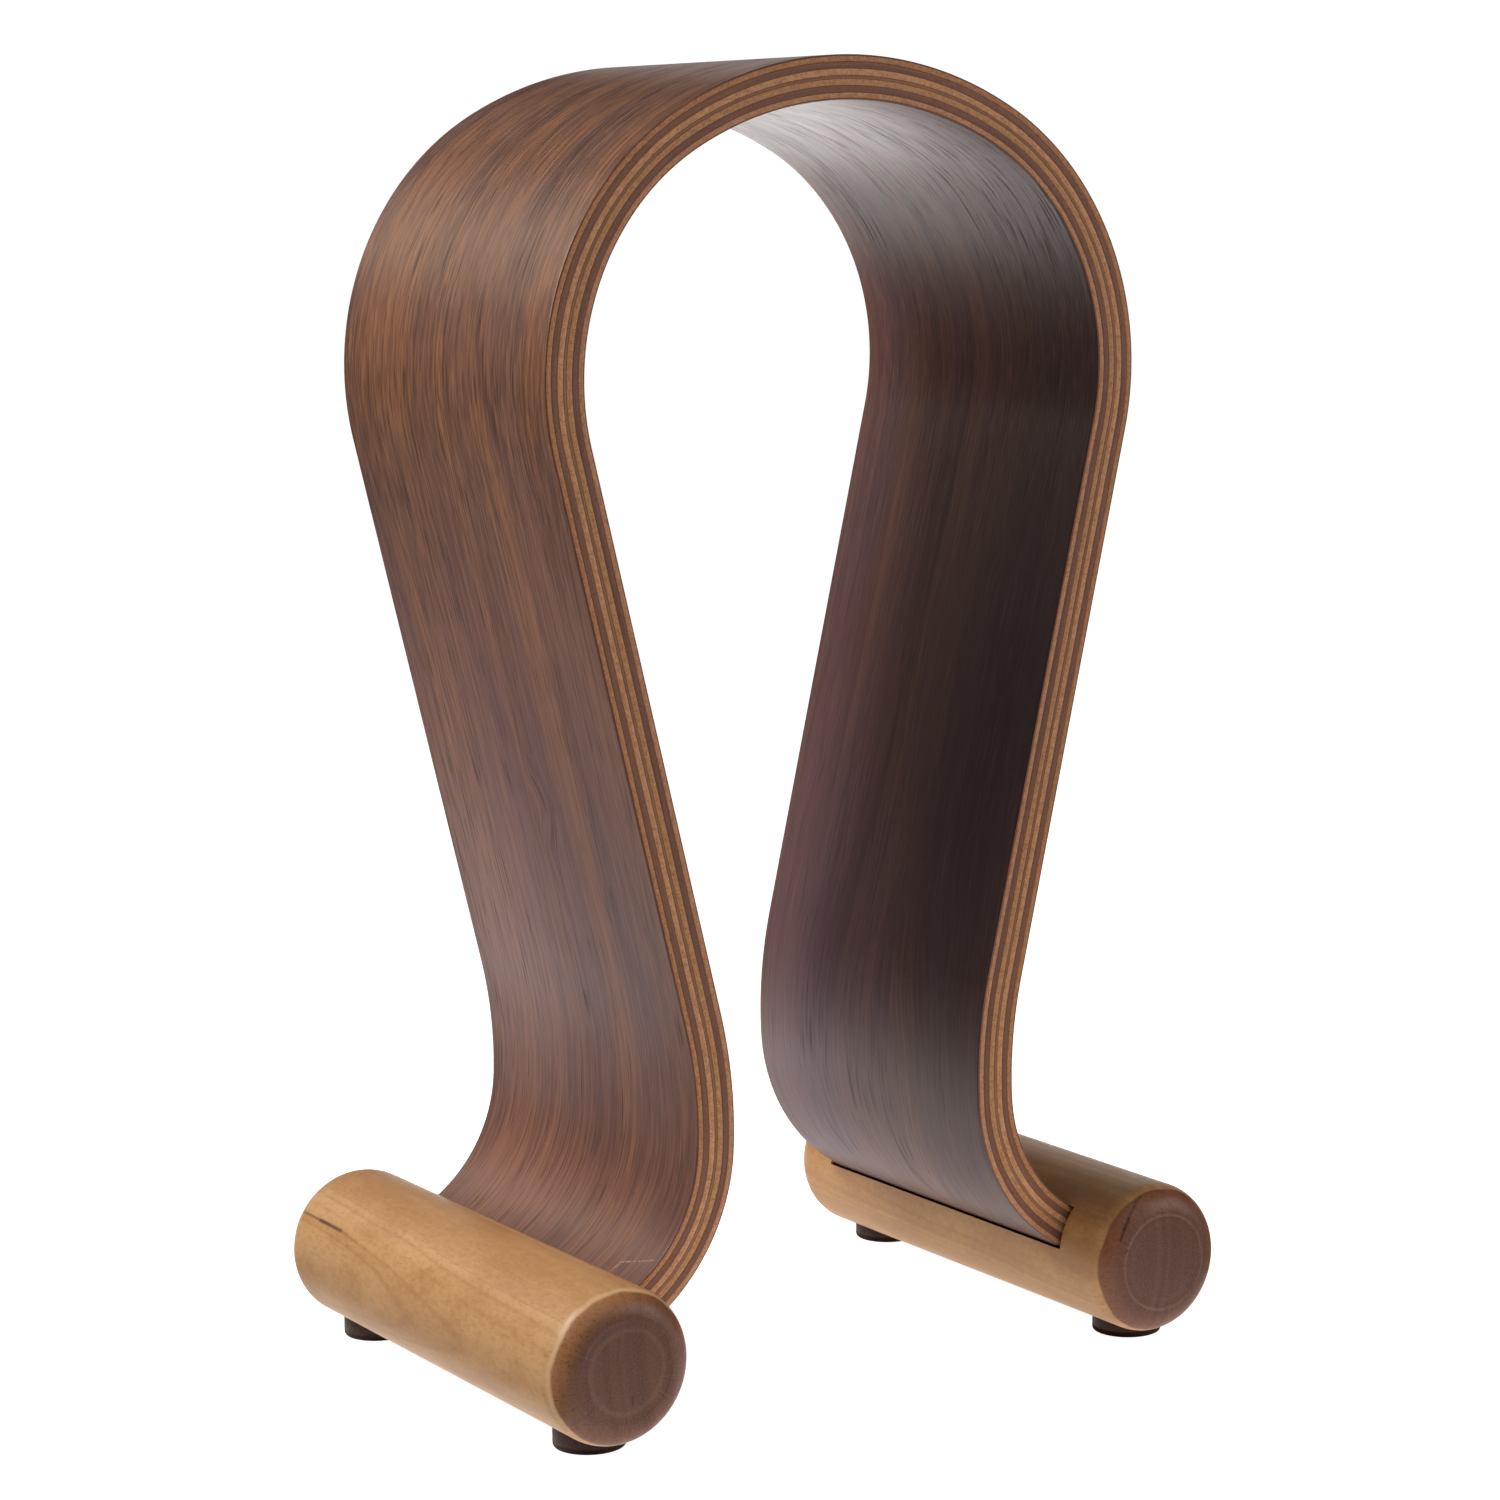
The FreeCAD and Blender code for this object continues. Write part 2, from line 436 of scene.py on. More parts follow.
WALNUT = {
    "purple": srgb(98, 66, 57), "gold": srgb(122, 83, 61), "patch": srgb(100, 71, 68),
    "dark_figure": srgb(82, 55, 52), "pale_figure": srgb(141, 101, 75),
    "line": srgb(72, 47, 42), "pore": srgb(45, 29, 27), "scratch": srgb(199, 169, 155),
    "dark_streak": srgb(65, 43, 39), "pale_streak": srgb(153, 110, 83),
    "dark_fibre": srgb(63, 42, 40), "pale_fibre": srgb(153, 112, 87),
}
FOOT = {
    "blotch": srgb(186, 134, 85), "dark_mottle": srgb(172, 124, 75),
    "pale_mottle": srgb(219, 175, 123), "latewood": srgb(169, 116, 71),
    "fleck": srgb(149, 100, 58), "ripple": srgb(121, 82, 62), "lip": srgb(147, 100, 72),
    "dark_ray": srgb(66, 38, 28), "pale_ray": srgb(168, 116, 82),
    "dark_ring": srgb(66, 38, 30), "pale_ring": srgb(134, 92, 72),
    "dark_speck": srgb(52, 31, 25), "pale_speck": srgb(137, 98, 80),
    # Pale tone of the line round the start of the end's rounding: partly sanding wear, partly
    # painted highlight.
    "wear_and_highlight": srgb(231, 196, 156),
}
FELT_TONES = {"dark": srgb(41, 23, 20), "pale": srgb(64, 38, 33), "clump": srgb(43, 25, 22)}
FILM_TONES = (srgb(196, 186, 160), srgb(214, 206, 184))
# The heart of the tree lies off a bar's axis, towards the other bar, and its rings wander.
HEART_IN = 45 * MM
HEART_UP = 3 * MM
RING_WANDER = 4 * MM
RING_DRIFT = 0.031  # how much further out a ring is for each metre along the bar
# Distances in from a bar's side: where the middle of its end turns into the rim, where the
# end turns into the side, and where the pale line of wear and painted highlight comes up and dies
# away.
MIDDLE_TO_RIM = (5.6 * MM, 0.9 * MM)
END_TO_SIDE = (0.95 * MM, 0.6 * MM)
WEAR_AND_HIGHLIGHT_UP = (0.8 * MM, 0.55 * MM)
WEAR_AND_HIGHLIGHT_AWAY = (0.15 * MM, 0.42 * MM)
# Distances from a bar's axis: where the turned ring on its end comes up and dies away, and
# where the rays come up.
RIPPLE_UP = (7.0 * MM, 7.8 * MM)
RIPPLE_AWAY = (8.8 * MM, 8.0 * MM)
RAYS_UP = (4 * MM, 10 * MM)
LIP_REACH = 0.55 * MM  # to each side of the flat's rim
END_UNEVENNESS = 0.12 * MM  # of all these circles
GLUE_LINE_TONE = srgb(70, 46, 36)
GLUE_LINE_WIDTH = 0.13 * MM
SCRATCH_WIDTH = 0.3 * MM
GRAIN_DRIFT = 12 * MM
# Arc lengths from the crown's top: where the walnut turns from the crown's look into the
# legs', and where its fibres start to be drawn out.
CROWN_FADE = (0.09, 0.15)
CROWN_HALF = 0.12
LEG_PACE = 0.38  # of the fibres' noise on the legs, against the crown's
# Shares of their strength that figure, grain and pores keep on the legs
LEG_FIGURE = 0.45
LEG_GRAIN = 0.72
LEG_PORES = 0.72


class Surface:
    """A material's nodes. A value handed to a node is a number, a colour or another's output."""

    def __init__(self, name):
        self.material = bpy.data.materials.new(name)
        self.material.use_nodes = True
        self.tree = self.material.node_tree
        self.tree.nodes.clear()

    def node(self, kind, inputs, output=0, **settings):
        """One of the outputs of a new node, which is given its settings and inputs."""
        node = self.tree.nodes.new("ShaderNode" + kind)
        for key, value in settings.items():
            setattr(node, key, value)
        for key, value in inputs.items():
            if isinstance(value, bpy.types.NodeSocket):
                self.tree.links.new(value, node.inputs[key])
            else:
                node.inputs[key].default_value = value
        return node.outputs[output]

    def uv(self):
        """Arc length along the band and depth across it, in metres."""
        return self.node("UVMap", {}, uv_map="grain")

    def place(self):
        """Place in the object's own frame, in metres."""
        return self.node("TexCoord", {}, output="Object")

    def split(self, vector):
        """The three parts of a vector."""
        node = self.node("SeparateXYZ", {"Vector": vector}).node
        return node.outputs[0], node.outputs[1], node.outputs[2]

    def join(self, x, y, z=0.0):
        """A vector of its parts."""
        return self.node("CombineXYZ", {"X": x, "Y": y, "Z": z})

    def math(self, operation, first, second=0.0):
        """Result of a sum on one or two numbers."""
        return self.node("Math", {0: first, 1: second}, operation=operation)

    def scaled(self, vector, scale, shift):
        """The vector times a scale along each axis, then moved by a shift."""
        return self.node("VectorMath", {0: vector, 1: scale, 2: shift}, operation="MULTIPLY_ADD")

    def noise(self, vector, scale, seed, detail, roughness=0.5):
        """Noise between 0 and 1, its scale in cycles per metre along each axis."""
        place = self.scaled(vector, scale, (seed, seed * 1.7, seed * 2.3))
        return self.node("TexNoise", {"Vector": place, "Scale": 1.0, "Detail": detail,
                                      "Roughness": roughness})

    def ramp(self, value, low, high, start=0.0, end=1.0):
        """Goes smoothly from start to end as the value goes from low to high."""
        return self.node("MapRange", {"Value": value, "From Min": low, "From Max": high,
                                      "To Min": start, "To Max": end},
                         interpolation_type="SMOOTHSTEP")

    def mix(self, factor, first, second):
        """The first colour at a factor of 0 and the second at 1."""
        return self.node("Mix", {0: factor, 6: first, 7: second}, output=2, data_type="RGBA")

    def tinted(self, colour, tint):
        """The colour times a tint."""
        return self.node("Mix", {0: 1.0, 6: colour, 7: tint}, output=2, data_type="RGBA",
                         blend_type="MULTIPLY")

    def spot(self, vector, centre, size):
        """1 at a centre, fading to 0 at an elliptical distance."""
        shift = tuple(-c / s for c, s in zip(centre, size))
        place = self.scaled(vector, tuple(1 / s for s in size), shift)
        distance = self.node("VectorMath", {0: place}, output=1, operation="LENGTH")
        return self.ramp(distance, 1.0, 0.0)

    def line(self, vector, start, end, width):
        """1 on the line between two points, fading to 0 at a distance."""
        run = Vector(end) - Vector(start)
        course = tuple(run.normalized())
        from_start = self.node("VectorMath", {0: vector, 1: start}, operation="SUBTRACT")
        reach = self.node("VectorMath", {0: from_start, 1: course}, output=1,
                          operation="DOT_PRODUCT")
        reach = self.math("MINIMUM", self.math("MAXIMUM", reach, 0.0), run.length)
        nearest = self.node("VectorMath", {0: course, "Scale": reach}, operation="SCALE")
        distance = self.node("VectorMath", {0: from_start, 1: nearest}, output=1,
                             operation="DISTANCE")
        return self.ramp(distance, width, 0.0)

    def bump(self, height, distance, strength):
        """Normal of a surface raised by a height times a distance."""
        return self.node("Bump", {"Height": height, "Distance": distance, "Strength": strength})

    def finish(self, colour, roughness, normal, **constants):
        """The finished material. Constants are the shader's other inputs."""
        inputs = {"Base Color": colour, "Roughness": roughness, "Normal": normal}
        inputs.update({key.replace("_", " "): value for key, value in constants.items()})
        shader = self.node("BsdfPrincipled", inputs)
        return self.shown(shader)

    def shown(self, shader):
        """The material, with this shader on its surface."""
        node = self.tree.nodes.new("ShaderNodeOutputMaterial")
        self.tree.links.new(shader, node.inputs["Surface"])
        return self.material


def walnut_course(s, uv, seed, knots):
    """Place along the grain and across it: the grain wanders, and bends round the knots."""
    drift = s.math("SUBTRACT", s.noise(uv, (6.0, 12.0, 0.0), seed, 1.0), 0.5)
    along, depth, _ = s.split(uv)
    depth = s.math("ADD", depth, s.math("MULTIPLY", drift, GRAIN_DRIFT))
    for centre, size, push in knots:
        around = s.spot(uv, (*centre, 0.0), (*size, 1.0))
        depth = s.math("ADD", depth, s.math("MULTIPLY", around, push))
    return along, depth


def longer_on_legs(s, along):
    """Place along the grain, drawn out below the shoulders so that fibres run longer there."""
    crown = s.math("MINIMUM", s.math("MAXIMUM", along, -CROWN_HALF), CROWN_HALF)
    return s.math("ADD", s.math("MULTIPLY", along, LEG_PACE),
                  s.math("MULTIPLY", crown, 1 - LEG_PACE))


def walnut_figure(s, flow, seed, strength, bold):
    """Broad bands and patches of gold and purple, with darker and paler figure over them."""
    broad = s.noise(flow, (2.6, 95.0, 0.0), seed + 3, 2.0)
    figure = s.noise(flow, (4.0, 380.0, 0.0), seed + 11, 3.0, 0.6)
    patches = s.noise(flow, (9.0, 60.0, 0.0), seed + 31, 2.0)
    colour = s.mix(s.ramp(broad, 0.35, 0.65), WALNUT["purple"], WALNUT["gold"])
    colour = s.mix(s.ramp(patches, 0.45, 0.66, 0.0, 0.7), colour, WALNUT["patch"])
    dark = s.math("MULTIPLY", s.ramp(figure, 0.48, 0.32, 0.0, strength), bold)
    pale = s.math("MULTIPLY", s.ramp(figure, 0.52, 0.68, 0.0, strength), bold)
    return s.mix(pale, s.mix(dark, colour, WALNUT["dark_figure"]), WALNUT["pale_figure"])


def walnut_streaks(s, colour, along, depth, streaks):
    """Streaks and zones of heartwood, and patches of painted sheen and shade, each along its own
    slope across the face.
    """
    for centre, size, slope, strength, tone in streaks:
        tilted = s.join(along, s.math("SUBTRACT", depth, s.math("MULTIPLY", along, slope)))
        level = (centre[0], centre[1] - slope * centre[0], 0.0)
        there = s.spot(tilted, level, (*size, 1.0))
        colour = s.mix(s.math("MULTIPLY", there, strength), colour, tone)
    return colour


def growth_lines(s, colour, flow, seed, strength, bold):
    """Thin dark lines where one year's growth ends."""
    years = s.noise(flow, (2.2, 230.0, 0.0), seed + 15, 1.0)
    line = s.ramp(s.math("ABSOLUTE", s.math("SUBTRACT", years, 0.5)), 0.030, 0.0)
    line = s.math("MULTIPLY", line, bold)
    return s.mix(s.math("MULTIPLY", line, strength), colour, WALNUT["line"])


def grained(s, colour, fine, fibre, grain):
    """The colour under fine streaks and fibres, each both darker and paler than the wood."""
    for value, low, high, strength, tone in (
            (fine, 0.54, 0.34, 0.38, WALNUT["dark_streak"]),
            (fine, 0.52, 0.72, 0.22, WALNUT["pale_streak"]),
            (fibre, 0.50, 0.32, 0.42, WALNUT["dark_fibre"]),
            (fibre, 0.50, 0.68, 0.30, WALNUT["pale_fibre"])):
        shown = s.math("MULTIPLY", s.ramp(value, low, high, 0.0, strength), grain)
        colour = s.mix(shown, colour, tone)
    return colour


def open_pores(s, flow, seed, from_crown):
    """Short open pores, crowded in places and fainter on the legs; with the strokes' noise."""
    strokes = s.noise(flow, (90.0, 2400.0, 0.0), seed + 41, 1.0)
    crowd = s.ramp(s.noise(flow, (9.0, 160.0, 0.0), seed + 47, 1.0), 0.35, 0.65, 0.0, 0.10)
    pores = s.ramp(s.math("ADD", strokes, crowd), 0.62, 0.76)
    return s.math("MULTIPLY", pores, s.ramp(from_crown, *CROWN_FADE, 1.0, LEG_PORES)), strokes


def walnut_face(name, seed, look, knots, streaks, scratches):
    """Sliced walnut: bands of gold and purple, fine streaks, short open pores."""
    s = Surface(name)
    uv = s.uv()
    along, depth = walnut_course(s, uv, seed, knots)
    flow = s.join(along, depth)
    fine_flow = s.join(longer_on_legs(s, along), depth)
    from_crown = s.math("ABSOLUTE", along)
    far = s.ramp(from_crown, *CROWN_FADE)
    bold = s.ramp(far, 0.0, 1.0, 1.0, LEG_FIGURE)
    grain = s.ramp(far, 0.0, 1.0, look["grain"], look["grain"] * LEG_GRAIN)
    fine = s.noise(fine_flow, (46.0, 1150.0, 0.0), seed + 19, 3.0, 0.7)
    fibre = s.noise(fine_flow, (190.0, 3000.0, 0.0), seed + 23, 1.0)
    pores, strokes = open_pores(s, flow, seed, from_crown)
    colour = walnut_figure(s, flow, seed, look["figure"], bold)
    colour = walnut_streaks(s, colour, along, depth, streaks)
    colour = growth_lines(s, colour, flow, seed, look["lines"], bold)
    colour = grained(s, colour, fine, fibre, grain)
    colour = s.mix(s.math("MULTIPLY", pores, 0.7 * look["grain"]), colour, WALNUT["pore"])
    for start, end in scratches:
        mark = s.math("MULTIPLY", s.line(uv, start, end, SCRATCH_WIDTH),
                      s.ramp(strokes, 0.4, 0.6))
        colour = s.mix(s.math("MULTIPLY", mark, 0.6), colour, WALNUT["scratch"])
    # Tint over the crown and the legs; the legs' bluer tint is painted sheen.
    colour = s.tinted(colour, s.mix(far, look["crown"], look["legs"]))
    rough = s.ramp(fine, 0.3, 0.7, 0.34, 0.42)
    rough = s.math("ADD", rough, s.math("MULTIPLY", pores, 0.2))
    height = s.math("ADD", s.math("MULTIPLY", fine, 0.25), s.math("MULTIPLY", fibre, 0.25))
    height = s.math("SUBTRACT", height, s.math("MULTIPLY", pores, 0.5))
    return s.finish(colour, rough, s.bump(height, 0.03 * MM, 0.5))


def ply_edge(name, seed, light, dark, speck, grain, speckle, glue):
    """The sawn and sanded edge of a ply. Grain is its scale along and across the edge."""
    s = Surface(name)
    uv = s.uv()
    slow = s.noise(uv, (28.0, 0.0, 0.0), seed, 2.0)
    streak = s.noise(uv, grain, seed + 5, 2.0, 0.6)
    dots = s.noise(uv, (3100.0, 1500.0, 0.0), seed + 9, 2.0, 0.6)
    _, across, _ = s.split(uv)
    colour = s.mix(s.ramp(streak, 0.3, 0.7), dark, light)
    colour = s.mix(s.ramp(slow, 0.4, 0.7, 0.0, 0.35), colour, light)
    colour = s.mix(s.ramp(dots, 0.50, 0.72, 0.0, speckle), colour, speck)
    low, high = glue
    nearest = s.math("MINIMUM", s.math("SUBTRACT", across, low), s.math("SUBTRACT", high, across))
    colour = s.mix(s.ramp(nearest, 0.0, GLUE_LINE_WIDTH, 0.6, 0.0), colour, GLUE_LINE_TONE)
    rough = s.ramp(dots, 0.3, 0.7, 0.5, 0.72)
    height = s.math("ADD", s.math("MULTIPLY", dots, -0.7), s.math("MULTIPLY", streak, 0.4))
    return s.finish(colour, rough, s.bump(height, 0.06 * MM, 0.6))


def growth_rings(s, place, heart, seed):
    """Noise in rings about the heart of the tree, which lies off the bar and drifts along it."""
    x, y, z = s.split(place)
    wander = s.math("SUBTRACT", s.noise(place, (40.0, 12.0, 40.0), seed, 2.0), 0.5)
    dx, dz = s.math("SUBTRACT", x, heart[0]), s.math("SUBTRACT", z, heart[1])
    reach = s.math("SQRT", s.math("ADD", s.math("MULTIPLY", dx, dx), s.math("MULTIPLY", dz, dz)))
    reach = s.math("ADD", reach, s.math("MULTIPLY", wander, RING_WANDER))
    reach = s.math("ADD", reach, s.math("MULTIPLY", y, RING_DRIFT))
    return s.noise(s.join(reach, 0.0), (420.0, 0.0, 0.0), seed + 3, 1.0)


def foot_side(s, place, rings, mottle, fleck, seed, tones):
    """Colour along a bar: growth rings cut lengthways, blotches, mottle and dark flecks."""
    latewood = s.ramp(s.math("ABSOLUTE", s.math("SUBTRACT", rings, 0.5)), 0.035, 0.0)
    blotch = s.noise(place, (120.0, 60.0, 120.0), seed + 7, 3.0)
    side = s.mix(s.ramp(rings, 0.35, 0.65), *tones)
    side = s.mix(s.ramp(blotch, 0.42, 0.66, 0.0, 0.5), side, FOOT["blotch"])
    side = s.mix(s.ramp(mottle, 0.55, 0.35, 0.0, 0.34), side, FOOT["dark_mottle"])
    side = s.mix(s.ramp(mottle, 0.52, 0.70, 0.0, 0.25), side, FOOT["pale_mottle"])
    side = s.mix(s.math("MULTIPLY", latewood, 0.28), side, FOOT["latewood"])
    return s.mix(s.ramp(fleck, 0.6, 0.75, 0.0, 0.25), side, FOOT["fleck"])


def turning_marks(s, end, flat, radius, look):
    """A faint ring inside the end's disc, and a paler lip round the disc."""
    ripple = s.math("MULTIPLY", s.ramp(flat, *RIPPLE_UP), s.ramp(flat, *RIPPLE_AWAY))
    end = s.mix(s.math("MULTIPLY", ripple, look["ripple"]), end, FOOT["ripple"])
    lip = s.math("ABSOLUTE", s.math("SUBTRACT", flat, radius - END_ROUNDING))
    return s.mix(s.ramp(lip, LIP_REACH, 0.0, 0.0, look["lip"]), end, FOOT["lip"])


def end_grain(s, end, place, flat, rings, seed):
    """Rays over the rounding, growth rings, and open pores as dark and pale specks."""
    x, _, z = s.split(place)
    dust = s.noise(place, (2300.0, 900.0, 2300.0), seed + 29, 3.0, 0.7)
    outward = s.node("VectorMath", {0: s.join(x, z)}, operation="NORMALIZE")
    rays = s.noise(outward, (30.0, 30.0, 0.0), seed + 43, 2.0, 0.6)
    shown = s.ramp(flat, *RAYS_UP)
    dark = s.math("MULTIPLY", s.ramp(rays, 0.50, 0.72, 0.0, 0.2), shown)
    pale = s.math("MULTIPLY", s.ramp(rays, 0.50, 0.28, 0.0, 0.14), shown)
    end = s.mix(dark, end, FOOT["dark_ray"])
    end = s.mix(pale, end, FOOT["pale_ray"])
    end = s.mix(s.ramp(rings, 0.52, 0.66, 0.0, 0.2), end, FOOT["dark_ring"])
    end = s.mix(s.ramp(rings, 0.48, 0.34, 0.0, 0.14), end, FOOT["pale_ring"])
    end = s.mix(s.ramp(dust, 0.52, 0.7, 0.0, 0.6), end, FOOT["dark_speck"])
    return s.mix(s.ramp(dust, 0.48, 0.3, 0.0, 0.4), end, FOOT["pale_speck"])


def inwards(radius, depths):
    """Distances from a bar's axis, for two distances in from its side."""
    return [radius - depth for depth in depths]


def foot_end(s, place, upper_left, rings, radius, seed, look):
    """Distance from the bar's axis, and the colour of its end: brown end grain, its rim painted
    paler towards the upper left, where the light falls.
    """
    x, _, z = s.split(place)
    flat = s.node("VectorMath", {0: s.join(x, z)}, output=1, operation="LENGTH")
    uneven = s.noise(place, (160.0, 160.0, 160.0), seed + 37, 2.0)
    flat = s.math("ADD", flat, s.ramp(uneven, 0.3, 0.7, -END_UNEVENNESS, END_UNEVENNESS))
    # Painted light: the end's rim is paler towards the upper left, where the light falls, and
    # darker elsewhere.
    rim_tone = s.mix(s.ramp(upper_left, -0.1, 1.1), look["rim"][1], look["rim"][0])
    end = s.mix(s.ramp(flat, *inwards(radius, MIDDLE_TO_RIM)), look["middle"], rim_tone)
    end = turning_marks(s, end, flat, radius, look)
    return flat, end_grain(s, end, place, flat, rings, seed)


def foot_wood(name, seed, centre, radius, heart, look):
    """Turned hardwood: pale along the sides, browner where the end grain took up more oil."""
    s = Surface(name)
    place = s.scaled(s.place(), (1.0, 1.0, 1.0), tuple(-c for c in centre))
    x, _, z = s.split(place)
    rings = growth_rings(s, place, heart, seed)
    mottle = s.noise(place, (1100.0, 600.0, 1100.0), seed + 13, 3.0, 0.7)
    fleck = s.noise(place, (2300.0, 420.0, 2300.0), seed + 17, 1.0)
    side = foot_side(s, place, rings, mottle, fleck, seed, look["sides"])
    # How far a point lies towards the upper left, the side the light falls on; it places the
    # painted light on the ends.
    upper_left = s.math("DIVIDE", s.math("SUBTRACT", z, x), radius)
    flat, end = foot_end(s, place, upper_left, rings, radius, seed, look)
    # A pale line round the start of the end's rounding: partly sanding wear, partly painted
    # highlight, painted only towards the upper left, where the light falls.
    wear_and_highlight = s.math("MULTIPLY", s.ramp(flat, *inwards(radius, WEAR_AND_HIGHLIGHT_AWAY)),
                  s.ramp(flat, *inwards(radius, WEAR_AND_HIGHLIGHT_UP)))
    wear_and_highlight = s.math("MULTIPLY", wear_and_highlight, s.ramp(upper_left, -0.4, 0.7, 0.0, look["rim_wear_and_highlight"]))
    colour = s.mix(s.ramp(flat, *inwards(radius, END_TO_SIDE)), end, side)
    colour = s.mix(wear_and_highlight, colour, FOOT["wear_and_highlight"])
    for start, stop, width, strength, tone in look["lines"]:
        there = s.line(place, start, stop, width)
        colour = s.mix(s.math("MULTIPLY", there, strength), colour, tone)
    rough = s.ramp(mottle, 0.3, 0.7, 0.38, 0.50)
    height = s.math("ADD", s.math("MULTIPLY", mottle, 0.5), s.math("MULTIPLY", fleck, -0.3))
    return s.finish(colour, rough, s.bump(height, 0.05 * MM, 0.6))


def felt(name, seed):
    """Pressed felt: dark brown fibres lying every way."""
    s = Surface(name)
    place = s.place()
    fibres = s.noise(place, (2600.0, 2600.0, 900.0), seed, 3.0, 0.7)
    clumps = s.noise(place, (480.0, 480.0, 480.0), seed + 5, 2.0)
    colour = s.mix(s.ramp(fibres, 0.35, 0.65), FELT_TONES["dark"], FELT_TONES["pale"])
    colour = s.mix(s.ramp(clumps, 0.4, 0.7, 0.0, 0.4), colour, FELT_TONES["clump"])
    rough = s.ramp(fibres, 0.3, 0.7, 0.88, 1.0)
    return s.finish(colour, rough, s.bump(fibres, 0.12 * MM, 0.8), Sheen_Weight=0.25,
                    Sheen_Roughness=0.5)


def film(name):
    """Translucent adhesive film with a fine dimple."""
    s = Surface(name)
    dimple = s.noise(s.place(), (900.0, 900.0, 900.0), 2.0, 2.0)
    colour = s.mix(s.ramp(dimple, 0.35, 0.65), *FILM_TONES)
    rough = s.ramp(dimple, 0.3, 0.7, 0.3, 0.45)
    return s.finish(colour, rough, s.bump(dimple, 0.03 * MM, 0.5))


# ---------------------------------------------------------------- pieces

PATH = band_path()
OFFSETS = layer_offsets()
BAND_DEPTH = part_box("ply_5_centre")[1].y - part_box("ply_5_centre")[0].y

# Edge colours of the plies, from the outer face to the inner: light, dark and speck.
PLY_TONES = [
    (srgb(143, 93, 72), srgb(122, 78, 61), srgb(97, 62, 48)),
    (srgb(208, 146, 98), srgb(180, 121, 79), srgb(139, 88, 54)),
    (srgb(147, 99, 73), srgb(125, 81, 60), srgb(102, 65, 50)),
    (srgb(225, 166, 119), srgb(195, 138, 96), srgb(156, 106, 69)),
    (srgb(168, 117, 79), srgb(141, 96, 65), srgb(114, 76, 52)),
    (srgb(211, 154, 104), srgb(184, 130, 84), srgb(145, 99, 62)),
    (srgb(141, 92, 73), srgb(118, 76, 59), srgb(97, 62, 48)),
    (srgb(215, 156, 113), srgb(188, 132, 94), srgb(149, 99, 67)),
    (srgb(174, 121, 93), srgb(149, 101, 77), srgb(120, 79, 61)),
]
PURPLE = srgb(78, 50, 48)
UMBER = srgb(66, 41, 35)
# How strong each face's figure and grain are, and the tints over its crown and its legs; the
# legs' bluer tint is painted sheen of the pale table and backdrop.
FACE_LOOKS = {
    "outer_face_veneer": {"figure": 0.28, "grain": 1.12, "lines": 0.45,
                          "crown": (1.0, 0.98, 0.88, 1.0), "legs": (1.14, 1.15, 1.36, 1.0)},
    "inner_face_veneer": {"figure": 0.40, "grain": 0.62, "lines": 0.35,
                          "crown": (1.12, 1.12, 1.28, 1.0), "legs": (1.10, 1.17, 1.52, 1.0)},
}
# Knots bend the grain round them: centre, reach and push, in metres along and across the face.
FACE_KNOTS = {
    "outer_face_veneer": [((-0.177, -0.005), (0.011, 0.007), 0.0032),
                          ((-0.0435, 0.0237), (0.016, 0.006), 0.0026)],
    "inner_face_veneer": [((0.1336, -0.0192), (0.009, 0.005), 0.0024),
                          ((0.245, -0.022), (0.05, 0.02), 0.008)],
}
# Streaks of darker heartwood, with patches of painted sheen and shade among them: centre, reach,
# slope across the face, strength and colour.
FACE_STREAKS = {
    "outer_face_veneer": [
        ((-0.093, -0.0165), (0.034, 0.0036), 0.29, 0.75, PURPLE),
        ((-0.056, -0.0217), (0.020, 0.0022), 0.0, 0.7, UMBER),
        ((-0.118, -0.034), (0.040, 0.009), 0.1, 0.7, PURPLE),
        ((-0.0435, 0.0237), (0.0024, 0.0011), 0.2, 0.9, UMBER),
        ((-0.177, -0.005), (0.0030, 0.0022), 0.0, 0.5, UMBER),
        ((-0.190, -0.022), (0.070, 0.005), 0.03, 0.45, PURPLE),
        ((-0.118, 0.026), (0.034, 0.026), 0.0, 0.45, srgb(76, 50, 44)),
        ((-0.200, -0.034), (0.085, 0.024), 0.06, 0.5, srgb(82, 60, 60)),
        # Painted sheen: a pale pinkish-grey patch on the back half of the lower left leg,
        # standing in for the reflection of the pale table.
        ((-0.205, 0.026), (0.065, 0.034), 0.0, 0.55, srgb(144, 112, 104)),
        # Painted highlight: a pale warm band across the base of the left leg, where light from
        # the upper left falls.
        ((-0.262, 0.018), (0.022, 0.060), 0.0, 0.55, srgb(160, 114, 86)),
    ],
    "inner_face_veneer": [
        # A broad dark zone over the front of the inner right leg: partly darker heartwood, partly
        # painted shade where the left leg keeps the light off.
        ((0.165, -0.028), (0.160, 0.046), 0.0, 0.95, srgb(52, 33, 35)),
        ((0.110, 0.0042), (0.075, 0.0022), 0.01, 0.75, UMBER),
        ((0.205, 0.0095), (0.065, 0.0022), 0.075, 0.7, UMBER),
        ((0.100, 0.0165), (0.060, 0.0030), 0.0, 0.5, UMBER),
        ((0.1336, -0.0192), (0.0024, 0.0018), 0.0, 0.9, UMBER),
        # Painted reflection: a pale pinkish-grey patch low on the back half of the inner right
        # leg, standing in for the white floor reflected there.
        ((0.225, 0.024), (0.080, 0.040), 0.0, 0.6, srgb(134, 104, 102)),
    ],
}
FACE_SCRATCHES = {
    "outer_face_veneer": [((-0.2715, -0.0296, 0.0), (-0.2680, -0.0385, 0.0)),
                          ((-0.2718, -0.0300, 0.0), (-0.2745, -0.0290, 0.0))],
    "inner_face_veneer": [],
}
ACROSS_GRAIN = (900.0, 1500.0, 0.0)
ALONG_GRAIN = (55.0, 3500.0, 0.0)
